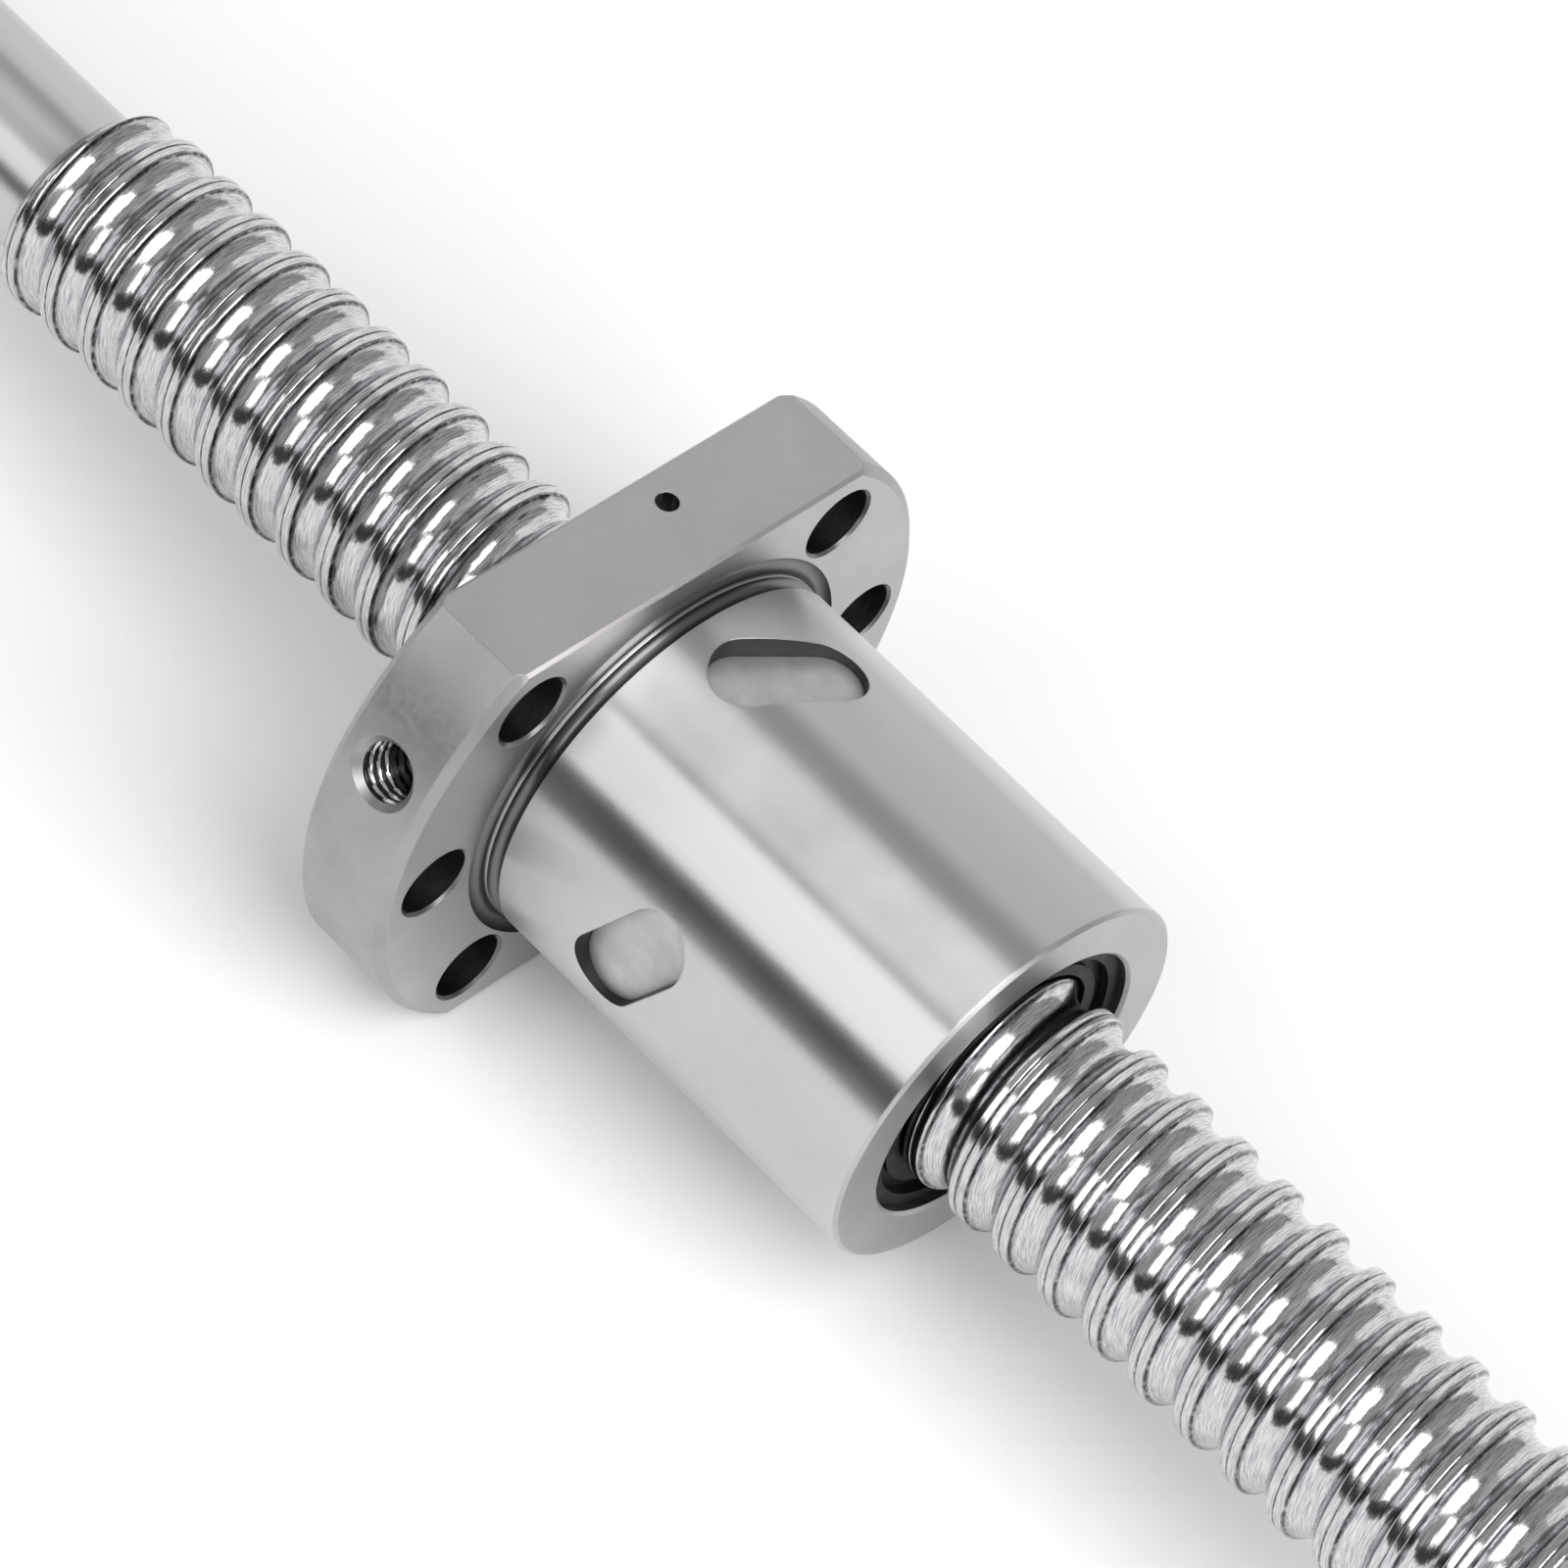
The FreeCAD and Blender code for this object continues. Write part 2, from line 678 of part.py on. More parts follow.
channels = [make_channel(number) for number in range(CIRCUITS)]
pieces = [make_screw(), make_nut()]
pieces += [make_deflector(number, channels[number]) for number in range(CIRCUITS)]
pieces += [make_ball_circuit(number) for number in range(CIRCUITS)]
pieces += [make_front_wiper(), make_rear_ring()]
doc.recompute()

for item in doc.Objects:
    if "Invalid" in item.State or "Error" in item.State:
        raise RuntimeError(f"{item.Label} failed: {item.State}")
for piece in pieces:
    if piece.Shape.isNull() or not piece.Shape.isValid():
        raise RuntimeError(f"{piece.Label} has no valid shape")
for piece in pieces:
    piece.Shape.exportStep(f"parts/{piece.Label}.step")
    print(f"{piece.Label}: {len(piece.Shape.Solids)} solids, {piece.Shape.Volume:.1f} mm3")
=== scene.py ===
import math

import bmesh
import bpy
import numpy as np
from mathutils import Matrix, Vector


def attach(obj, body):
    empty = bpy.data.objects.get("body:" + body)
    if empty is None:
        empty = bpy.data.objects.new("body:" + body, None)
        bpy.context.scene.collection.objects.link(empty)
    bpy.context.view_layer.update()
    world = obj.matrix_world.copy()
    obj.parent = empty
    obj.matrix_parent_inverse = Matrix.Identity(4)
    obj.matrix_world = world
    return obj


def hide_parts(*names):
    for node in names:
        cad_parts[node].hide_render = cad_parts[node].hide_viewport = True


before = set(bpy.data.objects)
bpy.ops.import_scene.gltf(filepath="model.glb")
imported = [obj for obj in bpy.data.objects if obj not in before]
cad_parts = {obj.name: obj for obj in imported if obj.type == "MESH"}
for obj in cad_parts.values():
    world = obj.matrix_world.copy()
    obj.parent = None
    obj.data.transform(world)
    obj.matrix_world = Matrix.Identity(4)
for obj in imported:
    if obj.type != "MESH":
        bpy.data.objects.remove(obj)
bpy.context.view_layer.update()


# Screw shaft
# A bar of hardened bearing steel, with a right-hand ball track of 5 mm a turn rolled in and
# polished. Rolling pushes the steel up into two soft lips beside the groove, which meet in a fine
# seam on the land. The left end is turned down to a plain journal, and the right end is faced.
MM = 0.001
LEAD = 5.0
TRACK_PHASE = 0.6
BALL_PATH_RADIUS = 10.4
TRACK_RADIUS = 1.7375
CREST_RADIUS = 9.9
LIP_RADIUS = 0.3
LIP_RISE = BALL_PATH_RADIUS - CREST_RADIUS + LIP_RADIUS
LIP_PLACE = math.sqrt((TRACK_RADIUS + LIP_RADIUS) ** 2 - LIP_RISE**2)
TOUCH_PLACE = LIP_PLACE * TRACK_RADIUS / (TRACK_RADIUS + LIP_RADIUS)
CREASE_SHADE_HALF_WIDTH = 0.16
SEAM_HALF_WIDTH = 0.14
SEAM_DEPTH = 0.06
THREAD_LEFT, THREAD_RIGHT = -71.0, 102.0
THREAD_CHAMFER = 1.0
JOURNAL_LEFT = -147.0
JOURNAL_RADIUS = 7.5
JOURNAL_CHAMFER = 1.0
STEPS_ROUND = 72
GROOVE_ROWS, LIP_ROWS, SEAM_ROWS = 8, 5, 4
ROUNDING = 1e-6
NEAR = 0.01
GRID_MERGE_DISTANCE = 2e-7
GROUND_MARKS = (9000, 500, 500)
BEVEL_SAMPLES = 4
QUARTER_TURN = 0.25


def grid_quads(columns, rows):
    """Corners of the faces between neighbouring columns and rows, column by column."""
    column, row = np.meshgrid(np.arange(columns - 1), np.arange(rows - 1), indexing="ij")
    first = column * rows + row
    return np.stack([first, first + rows, first + rows + 1, first + 1], -1).reshape(-1, 4)


def mesh_from_grid(name, points, corner_uvs=None):
    """Mesh of the faces between a grid's neighbouring points, with points at one place made one."""
    quads = grid_quads(*points.shape[:2])
    if corner_uvs is None:
        corner_uvs = np.zeros((quads.size, 2))
    points = points.reshape(-1, 3) * MM
    mesh = bpy.data.meshes.new(name)
    mesh.vertices.add(len(points))
    mesh.vertices.foreach_set("co", points.astype(np.float32).ravel())
    mesh.loops.add(quads.size)
    mesh.loops.foreach_set("vertex_index", quads.astype(np.int32).ravel())
    mesh.polygons.add(len(quads))
    mesh.polygons.foreach_set("loop_start", np.arange(0, quads.size, 4, dtype=np.int32))
    mesh.update(calc_edges=True)
    mesh.uv_layers.new(name="UVMap")
    mesh.uv_layers[0].data.foreach_set("uv", corner_uvs.astype(np.float32).ravel())
    work = bmesh.new()
    work.from_mesh(mesh)
    bmesh.ops.remove_doubles(work, verts=work.verts, dist=GRID_MERGE_DISTANCE)
    bmesh.ops.recalc_face_normals(work, faces=work.faces)
    work.to_mesh(mesh)
    work.free()
    return mesh


def put(name, mesh, body, materials, sharp_degrees):
    """Object at the origin that rides on a body, smooth except at edges sharper than the angle."""
    mesh.polygons.foreach_set("use_smooth", np.ones(len(mesh.polygons), bool))
    mesh.set_sharp_from_angle(angle=math.radians(sharp_degrees))
    piece = bpy.data.objects.new(name, mesh)
    bpy.context.scene.collection.objects.link(piece)
    for material in materials:
        mesh.materials.append(material)
    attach(piece, body)
    return piece


def face_arrays(mesh):
    """Centres in millimetres and normals of a mesh's faces."""
    centres = np.empty(len(mesh.polygons) * 3)
    mesh.polygons.foreach_get("center", centres)
    normals = np.empty(len(mesh.polygons) * 3)
    mesh.polygons.foreach_get("normal", normals)
    return centres.reshape(-1, 3) / MM, normals.reshape(-1, 3)


def set_finishes(mesh, numbers):
    """Give each face the finish of its number in the mesh's list of materials."""
    mesh.polygons.foreach_set("material_index", numbers.astype(np.int32))


def thread_radius(along):
    """Radius of the rolled surface at a distance along the axis from the middle of the track.

    Groove: the ball path's radius less the height of a circle of the track's radius. Lip: a small
    circle that touches the groove and the crest. Land: the crest's radius less a cosine seam.
    """
    reach = np.abs((along + LEAD / 2) % LEAD - LEAD / 2)
    groove = BALL_PATH_RADIUS - np.sqrt(np.maximum(TRACK_RADIUS**2 - reach**2, 0))
    drop = np.sqrt(np.maximum(LIP_RADIUS**2 - (LIP_PLACE - reach) ** 2, 0))
    shoulder = CREST_RADIUS - LIP_RADIUS + drop
    from_seam = np.minimum(np.abs(reach - LEAD / 2) / SEAM_HALF_WIDTH, 1)
    land = CREST_RADIUS - SEAM_DEPTH * (1 + np.cos(math.pi * from_seam)) / 2
    return np.where(reach < TOUCH_PLACE, groove, np.where(reach < LIP_PLACE, shoulder, land))


def rows_of_one_lead():
    """Places across one lead, closer together on the lips and in the seam."""
    tilt = math.asin(TOUCH_PLACE / TRACK_RADIUS)
    groove = TRACK_RADIUS * np.sin(np.linspace(0, tilt, GROOVE_ROWS + 1))
    shoulder = LIP_PLACE - LIP_RADIUS * np.sin(np.linspace(tilt, 0, LIP_ROWS + 1)[1:])
    seam = LEAD / 2 - SEAM_HALF_WIDTH * np.linspace(1, 0, SEAM_ROWS + 1)[:-1]
    half = np.concatenate([groove, shoulder, seam])
    return np.concatenate([[-LEAD / 2], -half[:0:-1], half])


def screw_surface():
    """Screw as turned and rolled: x runs with the helix, radius is the thread's at that place.

    x = row's place + lead * angle / 360, cut off at the two ends of the thread. Radius = the
    smaller of thread_radius and a 45 degree chamfer at each end. Beyond the left end come the
    shoulder, the journal and its chamfer. The map's u runs along the track and v across it.
    """
    first_turn = math.floor((THREAD_LEFT - TRACK_PHASE) / LEAD) - 1
    last_turn = math.ceil((THREAD_RIGHT - TRACK_PHASE) / LEAD) + 1
    turns = np.arange(first_turn, last_turn)
    base = (TRACK_PHASE + LEAD * turns[:, None] + rows_of_one_lead()[None, :]).ravel()
    share = np.arange(STEPS_ROUND + 1) / STEPS_ROUND
    x = np.clip(base[None, :] + LEAD * share[:, None], THREAD_LEFT, THREAD_RIGHT)
    radius = thread_radius(x - TRACK_PHASE - LEAD * share[:, None])
    end_radius = CREST_RADIUS - THREAD_CHAMFER
    radius = np.minimum(radius, end_radius + x - THREAD_LEFT)
    radius = np.minimum(radius, end_radius + THREAD_RIGHT - x)
    journal = [
        (JOURNAL_LEFT, 0.0),
        (JOURNAL_LEFT, JOURNAL_RADIUS - JOURNAL_CHAMFER),
        (JOURNAL_LEFT + JOURNAL_CHAMFER, JOURNAL_RADIUS),
        (THREAD_LEFT, JOURNAL_RADIUS),
    ]
    ones = np.ones((STEPS_ROUND + 1, 1))
    x = np.hstack([ones * place for place, _ in journal] + [x, ones * THREAD_RIGHT])
    radius = np.hstack([ones * size for _, size in journal] + [radius, ones * 0.0])
    angle = 2 * math.pi * np.where(share < 1, share, 0)[:, None]
    points = np.stack([x, radius * np.cos(angle), radius * np.sin(angle)], -1)
    rows = x.shape[1]
    quads = grid_quads(STEPS_ROUND + 1, rows)
    column, row = quads // rows, quads % rows
    along = np.concatenate([[place for place, _ in journal], base, [THREAD_RIGHT]])
    turn = np.floor((along[row[:, :1]] - TRACK_PHASE + LEAD / 2 + ROUNDING) / LEAD)
    around = 2 * math.pi * CREST_RADIUS * (share[column] + turn)
    across = along[row] - TRACK_PHASE - LEAD * turn
    return points, np.stack([around, across], -1)


def start_material(name, colour=None, roughness=None, metallic=1.0):
    """New material and its shader. A colour or roughness that is left out varies, and is linked."""
    material = bpy.data.materials.new(name)
    material.use_nodes = True
    shader = material.node_tree.nodes["Principled BSDF"]
    shader.inputs["Metallic"].default_value = metallic
    if colour is not None:
        shader.inputs["Base Color"].default_value = (*colour, 1)
    if roughness is not None:
        shader.inputs["Roughness"].default_value = roughness
    return material, material.node_tree, shader


def stretched_noise(tree, source, scale, detail=3.0, roughness=0.6):
    """Noise on the object's own coordinates ("Object") or its map ("UV"), stretched by scale."""
    coordinates = tree.nodes.new("ShaderNodeTexCoord")
    mapping = tree.nodes.new("ShaderNodeMapping")
    mapping.inputs["Scale"].default_value = scale
    noise = tree.nodes.new("ShaderNodeTexNoise")
    noise.inputs["Scale"].default_value = 1.0
    noise.inputs["Detail"].default_value = detail
    noise.inputs["Roughness"].default_value = roughness
    tree.links.new(coordinates.outputs[source], mapping.inputs["Vector"])
    tree.links.new(mapping.outputs["Vector"], noise.inputs["Vector"])
    return noise.outputs["Fac"]


def even_noise(tree, per_metre, detail=3.0):
    """Noise on the object's own coordinates, with as many waves to a metre in each direction."""
    return stretched_noise(tree, "Object", (per_metre, per_metre, per_metre), detail)


def spread(tree, value, low, high, start=0.3, end=0.7):
    """A value from start to end becomes a number from low to high."""
    node = tree.nodes.new("ShaderNodeMapRange")
    node.inputs["From Min"].default_value = start
    node.inputs["From Max"].default_value = end
    node.inputs["To Min"].default_value = low
    node.inputs["To Max"].default_value = high
    tree.links.new(value, node.inputs["Value"])
    return node.outputs["Result"]


def tint(tree, value, dark, light, start=0.3, end=0.7):
    """A value from start to end becomes a colour from dark to light."""
    node = tree.nodes.new("ShaderNodeValToRGB")
    node.color_ramp.elements[0].position = start
    node.color_ramp.elements[0].color = (*dark, 1)
    node.color_ramp.elements[1].position = end
    node.color_ramp.elements[1].color = (*light, 1)
    tree.links.new(value, node.inputs["Fac"])
    return node.outputs["Color"]


def calculate(tree, operation, *values):
    """Result of a sum on values that vary over the surface, or on one of them and a number."""
    node = tree.nodes.new("ShaderNodeMath")
    node.operation = operation
    for socket, value in zip(node.inputs, values):
        if isinstance(value, float):
            socket.default_value = value
        else:
            tree.links.new(value, socket)
    return node.outputs["Value"]


def line_near(tree, value, place, half_width):
    """One where a value is at a place, falling to zero at half a width to either side."""
    away = calculate(tree, "ABSOLUTE", calculate(tree, "SUBTRACT", value, place))
    return spread(tree, away, 1.0, 0.0, 0.0, half_width)


def add_bump(tree, shader, heights, edge_radius=None):
    """Bump from (value, height in metres) pairs, one after the other, over softened edges."""
    normal = None
    if edge_radius is not None:
        bevel = tree.nodes.new("ShaderNodeBevel")
        bevel.samples = BEVEL_SAMPLES
        bevel.inputs["Radius"].default_value = edge_radius
        normal = bevel.outputs["Normal"]
    for value, height in heights:
        bump = tree.nodes.new("ShaderNodeBump")
        bump.inputs["Strength"].default_value = 1.0
        bump.inputs["Distance"].default_value = height
        tree.links.new(value, bump.inputs["Height"])
        if normal is not None:
            tree.links.new(normal, bump.inputs["Normal"])
        normal = bump.outputs["Normal"]
    tree.links.new(normal, shader.inputs["Normal"])


def run_light_along_x(tree, shader, strength):
    """Gloss of a surface ground round the X axis: highlights run out along the axis."""
    shader.inputs["Anisotropic"].default_value = strength
    shader.inputs["Anisotropic Rotation"].default_value = QUARTER_TURN
    tangent = tree.nodes.new("ShaderNodeTangent")
    tangent.direction_type = "RADIAL"
    tangent.axis = "X"
    tree.links.new(tangent.outputs["Tangent"], shader.inputs["Tangent"])


def rolled_steel():
    """Bright rolled steel: streaks along the track, and painted shade as dark lines in the seam and by
    the lips.
    """
    material, tree, shader = start_material("rolled_steel")
    streaks = stretched_noise(tree, "UV", (0.4, 9.0, 1.0), detail=6.0, roughness=0.7)
    wear = stretched_noise(tree, "UV", (1.2, 4.0, 1.0))
    ripples = stretched_noise(tree, "UV", (0.3, 0.9, 1.0), detail=2.0)
    colour = tint(tree, streaks, (0.27, 0.273, 0.288), (0.68, 0.683, 0.695), 0.36, 0.56)
    coordinates = tree.nodes.new("ShaderNodeTexCoord")
    split = tree.nodes.new("ShaderNodeSeparateXYZ")
    tree.links.new(coordinates.outputs["UV"], split.inputs["Vector"])
    reach = calculate(tree, "ABSOLUTE", split.outputs["Y"])
    # Painted shade: near-black lines in the seam and beside the lips, broken up by the wear noise.
    seam = line_near(tree, reach, LEAD / 2, SEAM_HALF_WIDTH)
    beside = line_near(tree, reach, LIP_PLACE - LIP_RADIUS, CREASE_SHADE_HALF_WIDTH)
    lines = calculate(tree, "MAXIMUM", seam, beside)
    broken = calculate(tree, "MULTIPLY", lines, spread(tree, wear, 0.5, 1.2, 0.35, 0.55))
    painted_crease_shade = tree.nodes.new("ShaderNodeMix")
    painted_crease_shade.data_type = "RGBA"
    painted_crease_shade.inputs["B"].default_value = (0.05, 0.05, 0.055, 1)
    tree.links.new(broken, painted_crease_shade.inputs["Factor"])
    tree.links.new(colour, painted_crease_shade.inputs["A"])
    tree.links.new(painted_crease_shade.outputs["Result"], shader.inputs["Base Color"])
    tree.links.new(spread(tree, streaks, 0.19, 0.12), shader.inputs["Roughness"])
    add_bump(tree, shader, [(streaks, 3e-6), (wear, 14e-6), (ripples, 40e-6)])
    return material


def ground_journal():
    """Journal and right end: ground round the axis, so light spreads along it."""
    material, tree, shader = start_material("ground_journal", (0.6, 0.6, 0.61), 0.36)
    run_light_along_x(tree, shader, 0.9)
    add_bump(tree, shader, [(stretched_noise(tree, "Object", GROUND_MARKS), 0.8e-6)])
    return material


screw_mesh = mesh_from_grid("screw", *screw_surface())
screw = put("screw", screw_mesh, "screw", [rolled_steel(), ground_journal()], 40)
screw_places, _ = face_arrays(screw_mesh)
on_journal = screw_places[:, 0] < THREAD_LEFT - NEAR
on_right_end = screw_places[:, 0] > THREAD_RIGHT - NEAR
set_finishes(screw_mesh, on_journal | on_right_end)
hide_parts("screw_shaft")


# Nut body
# One piece of case-hardened steel: turned with two grooves between flange and barrel, drilled,
# its two flats and four windows milled, and the barrel and flange face ground. Each surface keeps
# the finish of its own tool. The oil port in the rim is tapped M6, and its mouth is countersunk.
BARREL_RADIUS, BARREL_END, BARREL_CHAMFER = 18.0, 41.0, 0.3
FLANGE_RADIUS, FLANGE_BACK, RIM_CHAMFER = 29.0, -10.0, 0.8
FLAT_HEIGHT, FLAT_CHAMFER = 22.0, 0.3
RING_MOUTH_RADIUS = 12.2
RELIEF_RADIUS, RELIEF_DEPTH = 19.6, 0.8
NECK_RADIUS, NECK_END = 17.3, 1.8
RIDGE_START, RIDGE_END = 0.05, 0.35
GROOVE_STEPS, GROOVE_STEPS_ROUND = 16, 240
WINDOWS_START, WINDOWS_END = 2.0, 35.5
WINDOW_INNER_RADIUS, WINDOW_OUTER_RADIUS = 10.65, 17.9
PORT_ANGLE = math.radians(157.5)
PORT_CENTRE = np.array([-5.0, 0.0, 0.0])
PORT_AXIS = np.array([0.0, math.cos(PORT_ANGLE), math.sin(PORT_ANGLE)])
PORT_TAP_RADIUS, PORT_MOUTH_RADIUS = 2.5, 3.2
PORT_THREAD_RADIUS, PORT_PITCH, PORT_DEPTH = 2.98, 1.0, 8.9
PORT_ROOT_SHARE = 0.12
PORT_CREST_SHARE = 0.4
PORT_STEPS_DOWN, PORT_STEPS_ROUND = 96, 48
FACET_SAG = 0.08
MARGIN = 0.1
SOLID_MERGE_DISTANCE = 1e-6
EDGE_RADIUS = 0.00015

# Cosines between a face's direction and an axis: the least for a face square to the screw, for
# the end's chamfer, for a flat and for a round face, then the greatest for a face that runs along
# the screw or the port.
SQUARE, CHAMFERED, LEVEL, ROUND = 0.9, 0.6, 0.99, 0.985
ALONG_SCREW, ALONG_PORT = 0.02, 0.3


def ground_barrel():
    """Ground round the axis: the marks run round it, so light spreads along it."""
    material, tree, shader = start_material("ground_barrel")
    run_light_along_x(tree, shader, 1.0)
    marks = stretched_noise(tree, "Object", GROUND_MARKS)
    grain = even_noise(tree, 2500, detail=2.0)
    clouds = even_noise(tree, 120)
    colour = tint(tree, clouds, (0.55, 0.542, 0.552), (0.61, 0.602, 0.608))
    tree.links.new(colour, shader.inputs["Base Color"])
    tree.links.new(spread(tree, clouds, 0.31, 0.35), shader.inputs["Roughness"])
    add_bump(tree, shader, [(marks, 0.8e-6), (grain, 1.5e-6)], 2 * EDGE_RADIUS)
    return material


def ground_face():
    """Face-ground flange and barrel end."""
    material, tree, shader = start_material("ground_face", roughness=0.36)
    grain = even_noise(tree, 2200)
    colour = tint(tree, even_noise(tree, 150), (0.46, 0.451, 0.454), (0.51, 0.501, 0.504))
    tree.links.new(colour, shader.inputs["Base Color"])
    add_bump(tree, shader, [(grain, 2e-6)], EDGE_RADIUS)
    return material


def cut_steel(name, dark, light, clouds_per_metre):
    """Matt steel as the cutter left it, with clouds from a dark to a light grey."""
    material, tree, shader = start_material(name)
    grain = even_noise(tree, 1800)
    colour = tint(tree, even_noise(tree, clouds_per_metre), dark, light)
    tree.links.new(colour, shader.inputs["Base Color"])
    tree.links.new(spread(tree, grain, 0.37, 0.47), shader.inputs["Roughness"])
    add_bump(tree, shader, [(grain, 3e-6)], EDGE_RADIUS)
    return material


def milled_flats():
    """Milled flats: a little warm."""
    return cut_steel("milled_flats", (0.44, 0.425, 0.427), (0.48, 0.464, 0.466), 90)


def turned_rim():
    """Turned rim and its chamfers: a little darker than the milled flats."""
    return cut_steel("turned_rim", (0.34, 0.332, 0.334), (0.41, 0.4, 0.402), 110)


def drilled_bore():
    """Bore with its grooves, and drilled holes."""
    material, tree, shader = start_material("drilled_bore", roughness=0.3)
    marks = stretched_noise(tree, "Object", (6000, 900, 900))
    colour = tint(tree, marks, (0.15, 0.145, 0.145), (0.24, 0.23, 0.23))
    tree.links.new(colour, shader.inputs["Base Color"])
    add_bump(tree, shader, [(marks, 2e-6)])
    return material


def shaded_window_wall():
    """Milled walls of the windows, near-black: painted shade."""
    material, tree, shader = start_material("shaded_window_wall", (0.07, 0.068, 0.068), 0.45)
    add_bump(tree, shader, [(even_noise(tree, 900), 3e-6)])
    return material


def turned_groove():
    """Turned grooves of the relief, left as the tool cut them."""
    material, tree, shader = start_material("turned_groove", (0.16, 0.157, 0.157), 0.3)
    run_light_along_x(tree, shader, 0.6)
    add_bump(tree, shader, [(stretched_noise(tree, "Object", GROUND_MARKS), 1e-6)])
    return material


def tapped_thread(name, grey):
    """Smooth cut steel of the tapped port in one grey: light for painted highlight, near-black for
    painted shade.
    """
    material, tree, shader = start_material(name, (grey, grey, grey), 0.2)
    add_bump(tree, shader, [(even_noise(tree, 1200, detail=2.0), 0.6e-6)])
    return material


def nut_skin():
    """Copy of the nut's solid, bare, with its corners made one."""
    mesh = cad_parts["nut_body"].data.copy()
    mesh.name = "nut"
    mesh.materials.clear()
    mesh.attributes.remove(mesh.attributes["custom_normal"])
    work = bmesh.new()
    work.from_mesh(mesh)
    bmesh.ops.remove_doubles(work, verts=work.verts, dist=SOLID_MERGE_DISTANCE)
    work.to_mesh(mesh)
    work.free()
    return mesh


def port_distances(points):
    """Distance out along the oil port's axis, and distance from that axis."""
    offset = points - PORT_CENTRE
    out = offset @ PORT_AXIS
    return out, np.linalg.norm(offset - out[..., None] * PORT_AXIS, axis=-1)


def on_port_wall(mesh):
    """Which faces are the plain wall of the port, where the thread goes."""
    centres, normals = face_arrays(mesh)
    out, away = port_distances(centres)
    wall = (out > FLANGE_RADIUS - PORT_DEPTH) & (np.abs(away - PORT_TAP_RADIUS) < FACET_SAG)
    return wall & (np.abs(normals @ PORT_AXIS) < ALONG_PORT)


def on_relief_wall(mesh):
    """Which faces are the plain step between flange and barrel, where the two grooves go."""
    centres, _ = face_arrays(mesh)
    x, radius = centres[:, 0], np.hypot(centres[:, 1], centres[:, 2])
    wall = (x > -RELIEF_DEPTH - FACET_SAG) & (x < NECK_END + NEAR)
    return wall & (radius > NECK_RADIUS - FACET_SAG) & (radius < RELIEF_RADIUS + NEAR)


def take_out(mesh, doomed):
    """Delete the chosen faces."""
    work = bmesh.new()
    work.from_mesh(mesh)
    work.faces.ensure_lookup_table()
    faces = [work.faces[index] for index in np.flatnonzero(doomed)]
    bmesh.ops.delete(work, geom=faces, context="FACES")
    work.to_mesh(mesh)
    work.free()


def nut_finishes(mesh):
    """Number of each face's finish, chosen from its place and direction."""
    bore, barrel, flat, face, wall, rim = range(6)
    centres, normals = face_arrays(mesh)
    x, radius, height = centres[:, 0], np.hypot(centres[:, 1], centres[:, 2]), np.abs(centres[:, 2])
    on_flange = x < MARGIN
    square = np.abs(normals[:, 0]) > SQUARE
    level = np.abs(normals[:, 2]) > LEVEL
    finish = np.full(len(centres), bore)
    on_barrel = (x > 0) & (radius > BARREL_RADIUS - BARREL_CHAMFER - FACET_SAG)
    finish[on_barrel & (radius < BARREL_RADIUS + FACET_SAG) & ~square] = barrel
    finish[on_flange & (height > FLAT_HEIGHT - FLAT_CHAMFER - MARGIN)] = flat
    finish[on_flange & (radius > FLANGE_RADIUS - RIM_CHAMFER - MARGIN) & ~level] = rim
    finish[on_flange & square & (radius > RELIEF_RADIUS)] = face
    finish[square & (x < FLANGE_BACK + MARGIN) & (radius > RING_MOUTH_RADIUS)] = face
    end = x > BARREL_END - BARREL_CHAMFER - MARGIN
    finish[end & (normals[:, 0] > CHAMFERED)] = face
    in_windows = (x > WINDOWS_START) & (x < WINDOWS_END)
    in_windows &= (radius > WINDOW_INNER_RADIUS) & (radius < WINDOW_OUTER_RADIUS)
    # The window walls get the near-black finish: painted shade.
    finish[in_windows] = wall
    return finish


def round_off(mesh):
    """Exact normals on the barrel and the rim, where long facets would show in the gloss.

    A corner's normal there is the direction from the axis to the corner.
    """
    centres, normals = face_arrays(mesh)
    radius = np.hypot(centres[:, 1], centres[:, 2])
    facing_out = np.sum(centres[:, 1:] * normals[:, 1:], 1) / np.maximum(radius, ROUNDING)
    turned = (np.abs(facing_out) > ROUND) & (np.abs(normals[:, 0]) < ALONG_SCREW)
    from_barrel, from_rim = np.abs(radius - BARREL_RADIUS), np.abs(radius - FLANGE_RADIUS)
    turned &= np.minimum(from_barrel, from_rim) < FACET_SAG
    corner_normals = np.empty(len(mesh.loops) * 3)
    mesh.corner_normals.foreach_get("vector", corner_normals)
    corner_normals = corner_normals.reshape(-1, 3)
    corner_vertex = np.empty(len(mesh.loops), dtype=np.int32)
    mesh.loops.foreach_get("vertex_index", corner_vertex)
    places = np.empty(len(mesh.vertices) * 3)
    mesh.vertices.foreach_get("co", places)
    outward = places.reshape(-1, 3)[corner_vertex]
    outward[:, 0] = 0
    outward /= np.maximum(np.linalg.norm(outward, axis=1), ROUNDING)[:, None]
    totals = np.empty(len(mesh.polygons), dtype=np.int32)
    mesh.polygons.foreach_get("loop_total", totals)
    of_turned = np.repeat(turned, totals)
    corner_normals[of_turned] = outward[of_turned]
    mesh.normals_split_custom_set(corner_normals.tolist())


